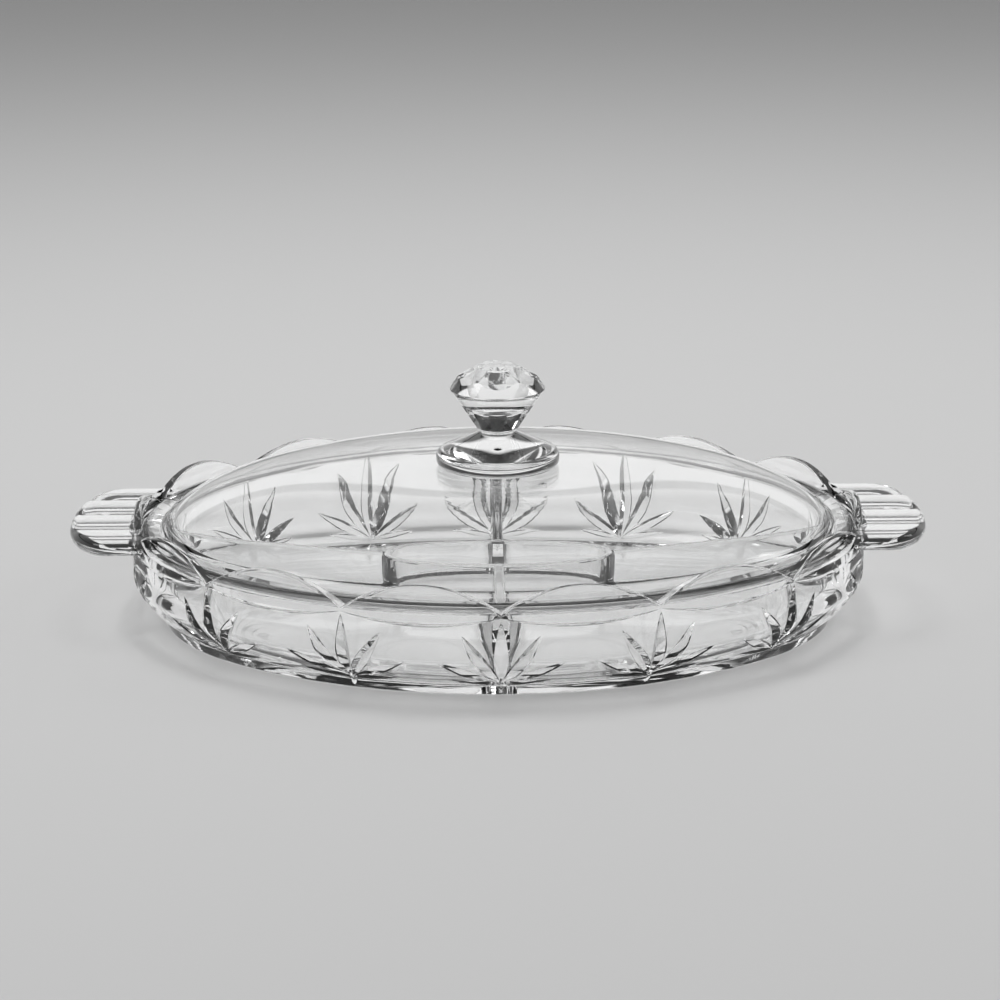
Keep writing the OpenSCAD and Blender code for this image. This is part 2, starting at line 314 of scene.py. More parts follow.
pressed_glass = clear_glass("pressed_glass", ripple_size=22 * mm, edge_light=TRAY_EDGE_LIGHT,
                            **PRESSED_FINISH)
cut_faces = clear_glass("cut_faces", edge_light=TRAY_EDGE_LIGHT, **CUT_FINISH)
lid_glass = clear_glass("lid_glass", ripple_size=30 * mm, edge_light=LID_EDGE_LIGHT,
                        **PRESSED_FINISH)
jewel_faces = clear_glass("jewel_faces", edge_light=LID_EDGE_LIGHT, **CUT_FINISH)
print("finishes", [glass.name for glass in (pressed_glass, cut_faces, lid_glass, jewel_faces)])

# %% [markdown]
# # The tray
# The tray's skin is made of 448 columns, 32 for each of its 14 scallops, so that every low point of the
# rim falls on a column. Outside, the columns stand evenly. Inside, those next to a divider run parallel
# to it, so its steep faces and rounded edges lie between two columns, and the others share what is
# left. The change from one spacing to the other happens on the flat ledge, where it can't be seen.

# %% Scallops and columns
SCALLOPS = 14
COLUMNS_PER_SCALLOP = 32
COLUMNS = SCALLOPS * COLUMNS_PER_SCALLOP
u_even = np.arange(COLUMNS) / COLUMNS
scallop_rise = crest_top - rim_low_z


def arch(u):
    """Rise of a scallop's arc, from 0 at its low points to 1 at its crest."""
    share = SCALLOPS * u - np.floor(SCALLOPS * u)
    return 4 * share * (1 - share)


def on_oval(inset, z, u=u_even):
    """A ring at an inset from the rim, and its height."""
    x, y = oval(u, inset)
    return x, y, z


rise = arch(u_even)
crest_z = rim_low_z + scallop_rise * rise
print(COLUMNS, "columns,", SCALLOPS, "scallops that rise by", scallop_rise)

# %% [markdown]
# The outside goes from the middle of the foot, over the foot band and the curved heel, up to the lens
# shaped bevel that is ground on each scallop, and over the rounded rim into the pocket of the lid. Each
# bevel is ground a little hollow. The side below it is hollow too, by more under the crest than under
# the low points, so the bevel's lower edge stands out as a lip, which draws the lens's dark line.

# %% Outside measures
foot_h = 4 * mm
foot_in = 11.5 * mm
foot_draft = 1 * mm
foot_shares = (0.35, 0.7, 0.92)
foot_edge = ((0.3 * mm, 0.0), (0.08 * mm, 0.08 * mm), (-0.02 * mm, 0.3 * mm))
band_top_share = 0.2
band_top_h = 0.6 * mm
heel_h = 24 * mm
heel_power = 2.2
hollow_low_z = 16 * mm
hollow_h = 9 * mm
SIDE_RINGS = 25
lip_under_h = 2.3 * mm
lip_under_in = 2.5 * mm
lip_shares = (0.08, 0.5, 0.85, 0.96, 1)
bevel_in = 2.6 * mm
bevel_drop = 2.4 * mm
bevel_edge = 1.2 * mm
bevel_hollow = 0.4 * mm
bevel_sides_power = 0.6
bevel_shares = (0.035, 0.07, 0.1, 0.125, 0.16, 0.3, 0.5, 0.7, 0.88, 0.96)
bevel_z = rim_low_z - bevel_edge - bevel_drop * rise
CREST_EDGE_MM, CREST_EDGE_MORE_MM = 0.9, 1.1
crest_edge_h = (CREST_EDGE_MM + CREST_EDGE_MORE_MM * rise) * mm
edge_r = 0.9 * mm
print("bevels up to", (crest_z - crest_edge_h - bevel_z).max(), "high")


# %% Outside rings
def heel_in(z, u=u_even):
    """How far the side lies in from the rim at a height."""
    hollow = np.clip((z - hollow_low_z) / hollow_h, 0, 1)
    hollow = hollow * hollow * (3 - 2 * hollow)
    return (foot_in * (np.clip(heel_h - z, 0, None) / (heel_h - foot_h)) ** heel_power
            + lip_under_in * arch(u) * hollow)


def corner(first, last, count):
    """Steps round a corner of radius 1, from and to an angle: how far in and how far down each is."""
    return [(1 - math.cos(angle), 1 - math.sin(angle))
            for angle in np.radians(np.linspace(first, last, count))]


def outside_rings():
    """Rings from the pole under the foot up to the rim's inner edge."""
    foot_x, foot_y = oval(u_even, foot_in + foot_draft)
    rings = [(0.0, 0.0, 0.0)]
    rings += [(share * foot_x, share * foot_y, 0.0) for share in foot_shares]
    rings += [on_oval(foot_in + foot_draft + inset, z) for inset, z in foot_edge]
    rings.append(on_oval(foot_in + band_top_share * foot_draft, foot_h - band_top_h))
    hollow_top = bevel_z - lip_under_h * rise
    for up in np.linspace(0, 1, SIDE_RINGS):
        z = foot_h + up * (hollow_top - foot_h)
        rings.append(on_oval(heel_in(z), z))
    for up in lip_shares:
        rings.append(on_oval((1 - up) * heel_in(hollow_top), hollow_top + up * (bevel_z - hollow_top)))
    for up in bevel_shares:
        ground = up * bevel_in + bevel_hollow * math.sin(math.pi * up ** 0.5)
        rings.append(on_oval(ground * rise ** bevel_sides_power,
                             bevel_z + up * (crest_z - crest_edge_h - bevel_z)))
    crest_in = bevel_in * rise ** bevel_sides_power
    rings += [on_oval(crest_in + edge_r * inner, crest_z - crest_edge_h * down)
              for inner, down in corner(0, 90, 8)]
    rings += [on_oval(rim_t - edge_r * inner, crest_z - edge_r * down)
              for inner, down in corner(90, 0, 8)]
    rings += [on_oval(rim_t + edge_r * inner, ledge_z + edge_r * down)
              for inner, down in corner(0, 90, 5)]
    return rings


# %% [markdown]
# Inside the ledge the glass is a landscape of heights over the plan: the side that curves down to the
# floor, four dividers that rise from the well towards the side, and the well's wall. At each point the
# highest of them counts, and a smooth maximum leaves a fillet where two of them meet. First come the
# places: columns beside the dividers, and rings that turn from the side's oval to the well's outline.

# %% Inside places
DIVIDER_COLUMNS = np.array([0, 0.7, 1.2, 1.55, 1.8, 2.0, 2.1, 2.5, 2.75, 3.2, 3.9, 4.9, 6.2]) * mm
well_half_l = well_high.x
well_half_w = well_high.y
well_top = well_high.z
well_t = 4 * mm
well_power = 0.88
quarter_columns = COLUMNS // 4
print("well", 2 * well_half_l, "by", 2 * well_half_w)


def well_turn(x_share):
    """Parameter of the well's outline where it is that share of its half length from the middle."""
    return np.arccos(np.clip(x_share, 0, 1) ** (1 / well_power))


def quarter_places(first, last, count):
    """Places of the columns between a quarter's two dividers, evenly from first to last."""
    return first + (last - first) * np.arange(1, count) / count


def well_quarter(out):
    """The front right quarter of the well's outline, moved out, one point for each column."""
    a = well_half_l + out
    b = well_half_w + out
    near = DIVIDER_COLUMNS
    if out <= -well_t / 2:
        near = near * max(0.0, min(a, b) / well_half_w)
    front = well_turn(near / a)
    end = np.arcsin(np.clip(near / b, 0, 1) ** (1 / well_power))
    between = quarter_places(front[-1], end[-1], quarter_columns - 2 * (len(near) - 1))
    angle = np.concatenate([front, between, end[::-1]])
    return a * np.cos(angle) ** well_power, -b * np.sin(angle) ** well_power


def side_quarter(inset):
    """The front right quarter of the inset oval, one point for each column."""
    front = np.arcsin(DIVIDER_COLUMNS / (side_r - inset))
    end = np.arccos(DIVIDER_COLUMNS / (end_r - inset))
    arc_front = front[-1] * side_r
    arc_end = side_arc + (end[-1] - side_turn) * end_r
    along = quarter_places(arc_front, arc_end, quarter_columns - 2 * (len(front) - 1))
    between = np.where(along < side_arc, along / side_r, side_turn + (along - side_arc) / end_r)
    turn = np.concatenate([front, between, end[::-1]])
    return oval_at(turn, 1, -1, inset)


def mirrored(quarter):
    """The front right quarter, then the back right, back left and front left ones."""
    x, y = quarter
    right_x, right_y = np.append(x, x[-2::-1]), np.append(y, -y[-2::-1])
    return np.append(right_x, -right_x[-2:0:-1]), np.append(right_y, right_y[-2:0:-1])


# %% [markdown]
# Then come the heights. A divider and the well's wall have the same section: a flat top with round
# edges, faces with a little draft, so that the mould lets go of them, and a fillet on the floor.

# %% Inside heights
side_draft = 0.075
side_corner_h = 14 * mm
side_corner_power = 1.7
side_corner_w = side_foot_in - ledge_in - side_draft * (ledge_z - floor_z)
divider_half_t = 2.1 * mm
divider_top = divider_high.z
divider_into_well = 0.12
WALL = {"top_r": 1.4 * mm, "draft": 0.02, "foot_r": 2.4 * mm}
print("dividers rise from", well_top, "to", divider_top)


def side_in(z):
    """Inset of the inner side at a height."""
    low = np.clip((floor_z + side_corner_h - z) / side_corner_h, 0, 1)
    curve = 1 - (1 - low ** side_corner_power) ** (1 / side_corner_power)
    return ledge_in + side_draft * (ledge_z - z) + side_corner_w * curve


def smooth_max(a, b, width):
    """The higher of two heights, rounded where they are about the same."""
    share = np.clip(0.5 + 0.5 * (a - b) / width, 0, 1)
    return b + share * (a - b) + width * share * (1 - share)


def wall_section(across, top, half_t, top_r, draft, foot_r):
    """Height of an upright wall, with round top edges and a fillet, at a distance from its middle."""
    away = np.abs(across)
    over = np.clip(away - (half_t - top_r), 0, top_r)
    edge = top - top_r + np.sqrt(top_r ** 2 - over ** 2)
    beyond = away - half_t
    face = top - top_r - beyond / draft
    reach = half_t + draft * (top - floor_z) + foot_r
    fillet = floor_z + foot_r - np.sqrt(
        np.clip(foot_r ** 2 - np.clip(reach - away, 0, foot_r) ** 2, 0, None))
    return np.maximum(np.where(beyond < 0, edge, face),
                      np.where(away < reach, np.maximum(fillet, floor_z), floor_z))


def divider_height(x, y):
    """Height of the nearest divider over the plan."""
    top_in = side_in(divider_top)
    reach_y = (np.abs(y) - well_half_w) / (half_w - top_in - well_half_w)
    reach_x = (np.abs(x) - well_half_l) / (half_l - top_in - well_half_l)
    heights = []
    for across, reach in ((x, reach_y), (y, reach_x)):
        top = well_top + np.clip(reach, 0, 1) * (divider_top - well_top)
        height = wall_section(across, top, divider_half_t, **WALL)
        heights.append(np.where(reach > -divider_into_well, height, floor_z))
    return np.maximum(*heights)


def well_height(out):
    """Height of the well's wall at a distance out from its outline."""
    return wall_section(out + well_t / 2, well_top, well_t / 2, **WALL)


# %% Inside rings
ledge_edge_r = 1.2 * mm
side_shares = np.concatenate([np.linspace(0.1, 0.5, 5), np.linspace(0.56, 1, 12)])
side_fillet = 0.6 * mm
floor_margin = 1.0 * mm
well_margin = 4.5 * mm
FLOOR_RINGS = 8
well_steps = np.array([3.6, 2.8, 2.1, 1.5, 1.0, 0.6, 0.35, 0.0, -0.1, -0.3, -0.6, -1.0, -1.5, -2.0,
                       -2.5, -3.0, -3.4, -3.7, -3.9, -4.0, -4.35, -4.6, -5.0, -5.5, -6.1, -6.8,
                       -7.6]) * mm
well_fillet = 0.2 * mm
well_floor_shares = (0.8, 0.55, 0.3)


def inside_rings():
    """Rings from the ledge's inner edge down to the middle of the well's floor."""
    rings = []
    for inner, down in corner(90, 0, 6):
        x, y = mirrored(side_quarter(ledge_in - ledge_edge_r * inner))
        rings.append((x, y, ledge_z - ledge_edge_r * down))
    for low in side_shares:
        z = ledge_z - low * (ledge_z - floor_z)
        x, y = mirrored(side_quarter(side_in(z)))
        rings.append((x, y, smooth_max(divider_height(x, y), z, side_fillet)))
    side_x, side_y = mirrored(side_quarter(side_foot_in + floor_margin))
    well_x, well_y = mirrored(well_quarter(well_margin))
    for share in np.linspace(0, 1, FLOOR_RINGS):
        x = side_x + share * (well_x - side_x)
        y = side_y + share * (well_y - side_y)
        rings.append((x, y, divider_height(x, y)))
    for out in well_steps:
        x, y = mirrored(well_quarter(out))
        height = well_height(out)
        if out > -well_t / 2:
            height = smooth_max(height, divider_height(x, y), well_fillet)
        rings.append((x, y, height))
    inner_x, inner_y, _ = rings[-1]
    rings += [(share * inner_x, share * inner_y, floor_z) for share in well_floor_shares]
    rings.append((0.0, 0.0, floor_z))
    return rings


tray = pressed("relish_tray", COLUMNS, outside_rings() + inside_rings(), pressed_glass)
print("tray blank", len(tray.data.polygons), "faces")

# %% [markdown]
# # The fans
# Below each low point of the rim a fan of seven leaves is cut into the glass. A leaf has a pointed root
# on the foot band, it is widest and deepest in its middle, and a steep lip runs round it, which draws
# its dark outline. The tool for a leaf here is a slim prism with that section, laid along the curved
# side. The tools of the same leaf in all fourteen fans are one mesh, cut away from the blank in one go.

# %% Leaf tools
# Each leaf: how far its tip lies along the rim from the fan's middle, the tip's height, and half its
# width, in millimetres. All but the first have a twin on the other side of the fan.
LEAVES = [(0.0, 33.0, 3.1), (14.5, 26.5, 3.0), (23.5, 16.0, 2.7), (20.0, 7.6, 2.0)]
LEAF_CORNERS = 5
LEAF_STEPS = 14
root_z = 4.4 * mm
leaf_slope = math.radians(43)
lip_slope = math.radians(66)
lip_h = 0.6 * mm
lip_share = 0.4
flank_least = 0.02 * mm
leaf_clear = 1.5 * mm
end_clear = 0.2 * mm
end_over = 0.03
widest_power = 0.9
point_power = 0.75
lowest_z = 0.5 * mm
look_ahead = 0.02
nudge = 1e-9
slope_step = 0.1 * mm
around = 4 * quarter_arc
print("way round the rim", around)


def side_point(u, z):
    """Point of the tray's outer side and its normal."""
    x, y = oval(np.array(u), heel_in(z, u))
    turn = float(turn_of(np.array(u)))
    sign_x, sign_y = (float(sign) for sign in signs(np.array(u)))
    slope = float(heel_in(z + slope_step, u) - heel_in(z - slope_step, u)) / (2 * slope_step)
    normal = Vector((sign_x * math.sin(turn), sign_y * math.cos(turn), slope)).normalized()
    return Vector((float(x), float(y), z)), normal


def leaf_tool(fan_u, tip_along, tip_z, half_width):
    """Rings of five points along a leaf: the V's bottom, where its flanks meet the lip, and its top."""
    rings = []
    for t in [-end_over] + [k / LEAF_STEPS for k in range(LEAF_STEPS + 1)] + [1 + end_over]:
        within = min(max(t, 0), 1)
        wide = half_width * math.sin(math.pi * within ** widest_power) ** point_power
        depth = wide * math.tan(leaf_slope) if 0 < t < 1 else -end_clear
        lip = min(lip_h, lip_share * max(depth, 0))
        z = root_z + t * (tip_z - root_z)
        point, normal = side_point(fan_u + tip_along * t / around, max(z, lowest_z))
        ahead, _ = side_point(fan_u + (tip_along * (t + look_ahead) + nudge) / around,
                              max(z + look_ahead * (tip_z - root_z), lowest_z))
        across = (ahead - point).cross(normal).normalized()
        flank = max(flank_least, (depth - lip) / math.tan(leaf_slope))
        top = flank + (leaf_clear + lip) / math.tan(lip_slope)
        lip_foot = point - lip * normal
        outside = point + leaf_clear * normal
        rings.append((point - depth * normal, lip_foot + flank * across, outside + top * across,
                      outside - top * across, lip_foot - flank * across))
    return rings


def leaf_tools(number, side):
    """One mesh with the closed tools of the same leaf in every fan."""
    along, tip_z, half_width = LEAVES[number]
    verts = []
    faces = []
    for fan in range(SCALLOPS):
        rings = leaf_tool(fan / SCALLOPS, side * along * mm, tip_z * mm, half_width * mm)
        first = len(verts)
        last = first + LEAF_CORNERS * (len(rings) - 1)
        for ring in rings:
            verts.extend(ring)
        for start in range(first, last, LEAF_CORNERS):
            for i in range(LEAF_CORNERS):
                j = (i + 1) % LEAF_CORNERS
                faces.append((start + i, start + j, start + LEAF_CORNERS + j, start + LEAF_CORNERS + i))
        faces.append([first + i for i in range(LEAF_CORNERS)][::-1])
        faces.append([last + i for i in range(LEAF_CORNERS)])
    mesh = bpy.data.meshes.new("leaf_tools")
    mesh.from_pydata(verts, [], faces)
    mesh.materials.append(cut_faces)
    tools = bpy.data.objects.new("leaf_tools", mesh)
    bpy.context.collection.objects.link(tools)
    turn_outwards(tools)
    return tools


for number in range(len(LEAVES)):
    for side in ((1,) if number == 0 else (1, -1)):
        combine(tray, leaf_tools(number, side), "DIFFERENCE")
print("tray with fans", len(tray.data.polygons), "faces")

# %% [markdown]
# # The handles
# A handle is a flat tab that grows out of the scallop at each end. Its top has four broad, shallow ribs
# with fine grooves between them, which run straight out along the tray, and its edge is round. Here a
# ball is pressed so that each ring is a slice along the tab: out along the top, round the edge and back
# along the underside. The slices stand closer together at the sides, where the outline turns.

# %% Handles
RIBS = 4
LINES_PER_RIB = 10
SLICE_STEPS = 8
rib_h = 0.8 * mm
rib_power = 0.7
handle_glass = handle_high.z - handle_low.z - rib_h
handle_least = 0.2
handle_half_w = handle_high.y
handle_end = handle_high.x
handle_shoulder = half_l - 3 * mm
handle_square_power = 2.4
handle_side_power = 14
handle_sink = 2.8 * mm
end_centre_x = half_l - end_r


def rib_places():
    """Places across the handle, from -1 to 1: even on the inner ribs, closer at the two sides."""
    shares = np.arange(LINES_PER_RIB + 1) / LINES_PER_RIB
    inner = np.arange(0, RIBS // 2 - 1 + 0.5 / LINES_PER_RIB, 1 / LINES_PER_RIB) * 2 / RIBS
    outer = 1 - 2 / RIBS * (1 - shares) ** 2
    half = np.unique(np.round(np.concatenate([inner, outer]), 6))
    return np.concatenate([-half[:0:-1], half])


def handle_ring(place):
    """A slice along the handle: from its root out along the top, and back along the bottom."""
    y = handle_half_w * place
    root_x = end_centre_x + math.sqrt((end_r - handle_sink) ** 2 - y ** 2)
    square = (1 - abs(place) ** handle_square_power) ** (1 / handle_square_power)
    tip_x = handle_shoulder + (handle_end - handle_shoulder) * square
    rib = rib_h * abs(math.sin(math.pi * RIBS * (place + 1) / 2)) ** rib_power
    thick = (handle_glass + rib) * max(handle_least, math.sqrt(1 - abs(place) ** handle_side_power))
    round_r = thick / 2
    to_tip = np.concatenate([np.linspace(tip_x - root_x, round_r, SLICE_STEPS)[:-1],
                             round_r * (1 - np.sin(np.linspace(0, math.pi / 2, SLICE_STEPS)))])
    swell = np.sqrt(1 - (1 - np.minimum(to_tip / round_r, 1)) ** 2)
    middle = handle_low.z + (handle_glass + rib) / 2
    out = np.concatenate([to_tip, to_tip[-2::-1]])
    up = np.concatenate([swell, -swell[-2::-1]])
    return tip_x - out, np.full(len(out), y), middle + up * round_r


def handle(name, sign):
    """One handle, out along +X or -X."""
    rings = [(sign * x, y, z) for x, y, z in (handle_ring(place) for place in rib_places())]
    poles = [tuple(float(np.mean(row)) for row in end) for end in (rings[0], rings[-1])]
    return pressed(name, len(rings[0][0]), [poles[0]] + rings + [poles[1]], pressed_glass)


for name, sign in (("right_handle_glass", 1), ("left_handle_glass", -1)):
    combine(tray, handle(name, sign), "UNION")
print("tray", len(tray.data.polygons), "faces")

# %% [markdown]
# # The lid and the knob
# The lid is a thin shell: a flat edge that lies on the ledge, and a dome whose plan turns from the
# bowl's oval at its foot to a circle under the knob. It is pressed from a ball as well, and so are the
# turned foot of the knob and the blank of its jewel.

# %% Lid shell
LID_COLUMNS = 192
u_lid = np.arange(LID_COLUMNS) / LID_COLUMNS
lid_turn = turn_of(u_lid)
lid_side_x, lid_side_y = signs(u_lid)
flange_in = half_l - flange_high.x
flange_low_z, flange_z = flange_low.z, flange_high.z
flange_r = 1.5 * mm
dome_foot_in = flange_in + 8 * mm
dome_foot_rings = (0.6 * mm, 3 * mm)
dome_foot_rise = 0.02
dome_top_z = dome_high.z
dome_t = 4 * mm
dome_hollow_drop = 0.2 * mm
dome_out_power = 2.9
dome_round_power = 0.75
DOME_RINGS = 26
dome_ring_power = 0.9
seat_r = 26 * mm
seat_shares = (0.3, 0.6, 0.85)
seat_hollow_shares = (0.7, 0.35)


def lid_ring(out, inset, z):
    """A ring between the round seat, out = 0, and the dome's oval foot, out = 1."""
    x, y = oval(u_lid, dome_foot_in + inset)
    seat_x = seat_r * lid_side_x * np.sin(lid_turn)
    seat_y = seat_r * lid_side_y * np.cos(lid_turn)
    return seat_x + out * (x - seat_x), seat_y + out * (y - seat_y), z


def dome_rise(out):
    """Share of the dome's rise at a share of the way out to its foot."""
    return (1 - out ** dome_out_power) ** dome_round_power


def flat_ring(inset, z):
    """A ring of the lid's flat edge."""
    return on_oval(inset, z, u_lid)


def seat_rings(shares, inset, z):
    """Rings between the pole and the round seat, at shares of its radius."""
    x, y, _ = lid_ring(0, inset, z)
    return [(share * x, share * y, z) for share in shares]


def lid_rings():
    """From the pole on top, over the dome and round the flat edge, to the pole inside."""
    dome_h = dome_top_z - flange_z
    outs = np.sin(np.linspace(0.0, 1, DOME_RINGS) * math.pi / 2) ** dome_ring_power
    rings = [(0.0, 0.0, dome_top_z)] + seat_rings(seat_shares, 0, dome_top_z)
    rings += [lid_ring(out, 0, flange_z + dome_h * dome_rise(out)) for out in outs[:-1]]
    rings.append(lid_ring(1.0, 0, flange_z + dome_foot_rise * dome_h))
    rings += [flat_ring(dome_foot_in - out, flange_z) for out in dome_foot_rings]
    rings += [flat_ring(flange_in + flange_r * inner, flange_z - flange_r * down)
              for inner, down in corner(90, 0, 7)]
    rings += [flat_ring(flange_in + flange_r * inner, flange_low_z + flange_r * down)
              for inner, down in corner(0, 90, 7)]
    rings += [flat_ring(dome_foot_in + dome_t - flange_r * inner, flange_low_z + flange_r * down)
              for inner, down in corner(90, 0, 6)]
    for out in outs[::-1]:
        rings.append(lid_ring(out, dome_t, flange_z - dome_hollow_drop
                              + (dome_h - dome_t + dome_hollow_drop) * dome_rise(out)))
    rings += seat_rings(seat_hollow_shares, dome_t, dome_top_z - dome_t)
    rings.append((0.0, 0.0, dome_top_z - dome_t))
    return rings


lid = pressed("lid_with_knob", LID_COLUMNS, lid_rings(), lid_glass)
print("lid shell", len(lid.data.polygons), "faces")

# %% [markdown]
# The knob's foot is turned: a round edge, a slope and a short neck under the jewel. A solid of
# revolution could be spun from its profile, but a pressed ball gives the same rings and closes itself.
# The foot joins the dome in a small spot in its middle, with a hair's gap round that, so its underside
# stays a face of its own, which the glass shows.

# %% Knob foot
KNOB_COLUMNS = 96
knob_angle = np.arange(KNOB_COLUMNS) / KNOB_COLUMNS * 2 * math.pi
weld = 0.6 * mm
weld_r = 0.8 * mm
gap_r = 1.2 * mm
gap_h = 0.15 * mm
foot_clear = 0.1 * mm
foot_edge_h = 6.4 * mm
foot_edge_r = 0.38 * foot_edge_h
flat_r = knob_foot_high.x - foot_edge_r
slope_in = 0.6 * mm
slope_h = 6.8 * mm
slope_shares = (0, 0.02, 0.35, 0.7, 0.96, 1)
neck_r = 6.8 * mm
neck_flare = 0.8 * mm
neck_fillet = ((0.2 * mm, 0.5 * mm), (0.0, 1.0 * mm))
neck_top_h = 0.3 * mm
neck_lip = 0.4 * mm
jewel_low_z = jewel_low.z


def turned(name, profile, material):
    """A turned piece from a list of radii and heights, the first and last on the axis."""
    rings = [(r * np.cos(knob_angle), r * np.sin(knob_angle), z) for r, z in profile]
    return pressed(name, KNOB_COLUMNS, rings, material)


def knob_foot_profile():
    """From the seat on the dome round the foot's edge, up its slope and the neck, into the jewel."""
    base = dome_top_z
    profile = [(0.0, base - weld), (weld_r, base - weld), (gap_r, base + gap_h)]
    for angle in np.radians(np.linspace(-90, 0, 8)):
        profile.append((flat_r + foot_edge_r * math.cos(angle),
                        base + foot_clear + foot_edge_r + foot_edge_r * math.sin(angle)))
    for angle in np.radians(np.linspace(0, 90, 8)):
        profile.append((flat_r + foot_edge_r * math.cos(angle),
                        base + foot_edge_h - foot_edge_r + foot_edge_r * math.sin(angle)))
    slope_low = Vector((flat_r - slope_in, base + foot_edge_h))
    slope_high = Vector((neck_r + neck_flare, base + foot_edge_h + slope_h))
    profile += [tuple(slope_low.lerp(slope_high, share)) for share in slope_shares]
    profile += [(neck_r + out, slope_high.y + up) for out, up in neck_fillet]
    profile += [(neck_r, jewel_low_z - neck_top_h), (neck_r + neck_lip, jewel_low_z + weld),
                (0.0, jewel_low_z + weld)]
    return profile


combine(lid, turned("knob_foot_glass", knob_foot_profile(), lid_glass), "UNION")
print("lid with the knob's foot", len(lid.data.polygons), "faces")

# %% [markdown]
# The jewel is cut the way a cutter does it: a turned blank is ground flat, one row of facets after
# another. All the facets of a row tilt alike, so together they are the sides of a pyramid, and what is
# left of the blank is what lies inside that pyramid. The crown's blank is a steep cone, its row of six
# large facets has one that faces the front, and twelve small ones lead up to the table. Below the
# girdle a plain band runs down to a cone of twelve facets, which is added from below.

# %% Jewel
jewel_r = jewel_high.x
girdle_z = jewel_low_z + 15.6 * mm
girdle_h = 0.6 * mm
girdle_round = (0.35 * mm, 0.3 * mm)
girdle_low_in = 0.05 * mm
girdle_top_in = 0.1 * mm
crown_z = girdle_z + girdle_h
crown_h = jewel_high.z - crown_z
band_z = jewel_low_z + 9.2 * mm
band_low_r = 0.74 * jewel_r
band_round = (0.7 * mm, 0.5 * mm)
BLANK_MIDDLE = (0.825, 0.5)
BLANK_TOP_SHARE = 0.65
BAND_FACETS = 12
cone_lip = 1.3 * mm
cone_over = (0.25 * mm, 0.45 * mm)
pyramid_below = 1 * mm
# A row's number of facets, the direction of one in degrees, and two places that it goes through, each
# as shares of the jewel's radius and the crown's height
CROWN_ROWS = ((6, 0, (0.915, 0.27), (0.505, 0.82)), (12, 15, (0.488, 0.82), (0.308, 1.0)))


def jewel_blank():
    """The turned blank: the plain band under the girdle, the girdle and a steep cone."""
    profile = [(0.0, band_z), (band_low_r, band_z),
               (band_low_r + band_round[0], band_z + band_round[1]),
               (jewel_r - girdle_round[0], girdle_z - girdle_round[1]),
               (jewel_r - girdle_low_in, girdle_z), (jewel_r, girdle_z + girdle_h / 2),
               (jewel_r - girdle_top_in, crown_z),
               (BLANK_MIDDLE[0] * jewel_r, crown_z + BLANK_MIDDLE[1] * crown_h),
               (BLANK_TOP_SHARE * jewel_r, jewel_high.z), (0.0, jewel_high.z)]
    return turned("jewel", profile, jewel_faces)


def cone_of_facets(count, first, low_r, low_z, high_r, high_z):
    """A cone with flat sides, from a low to a high radius of their middles; one faces first degrees."""
    deselect()
    to_corner = 1 / math.cos(math.pi / count)
    bpy.ops.mesh.primitive_cone_add(
        vertices=count, radius1=low_r * to_corner, radius2=high_r * to_corner, depth=high_z - low_z,
        location=(0, 0, (low_z + high_z) / 2), rotation=(0, 0, math.radians(180 / count + first)))
    cone = bpy.context.object
    bpy.ops.object.transform_apply(location=True, rotation=True, scale=True)
    cone.data.materials.append(jewel_faces)
    return cone


def crown_row(count, first, low, high):
    """A pyramid through two shares of the jewel's radius and the crown's height."""
    slope = (high[1] - low[1]) * crown_h / ((low[0] - high[0]) * jewel_r)
    low_z = jewel_low_z - pyramid_below
    apex = crown_z + low[1] * crown_h + low[0] * jewel_r * slope
    return cone_of_facets(count, first, (apex - low_z) / slope, low_z, 0, apex)


jewel = jewel_blank()
for row in CROWN_ROWS:
    combine(jewel, crown_row(*row), "INTERSECT")
combine(jewel, cone_of_facets(BAND_FACETS, 0, neck_r + cone_lip, jewel_low_z,
                              band_low_r + cone_over[0], band_z + cone_over[1]), "UNION")
print("jewel", len(jewel.data.polygons), "faces")
combine(lid, jewel, "UNION")
print("lid with knob", len(lid.data.polygons), "faces")

# %% [markdown]
# # Smooth and sharp
# Pressed and turned faces are shaded smooth, and an edge is sharp where two faces meet at more than a
# few degrees, so that cuts and facets stay crisp. The cuts can leave a face twice, and validate removes
# such a double.

# %% Shading
SHARP_ANGLE = math.radians(16)
for piece, body, nodes in ((tray, "tray", TRAY_NODES), (lid, "lid", LID_NODES)):
    select(piece)
    print(piece.name, "had faces twice:", piece.data.validate())
    bpy.ops.object.shade_smooth_by_angle(angle=SHARP_ANGLE)
    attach(piece, body)
    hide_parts(*nodes)

# %% [markdown]
# # The studio
# The dish stands on a plain pale floor. Glass shows its form by what it mirrors and bends, and in the
# photograph that is a bright backdrop with dark cards round it. Paper walls would do, but they would
# throw shadows and colour the floor, so the room is drawn on the world by the height of a direction.
# What the glass mirrors is bright low down and light overhead, with a narrow dark line between. What is
# seen through the glass has a bright band between dark cards, a low one and a tall one, which draw the
# dark edges. All else gets an even dim fill, and the floor is lighter in the glass than beside it.

# %% Floor
FLOOR_GREY = 0.6
FLOOR_GREY_IN_GLASS = 0.8
floor_r = 6
floor_drop = 0.0002

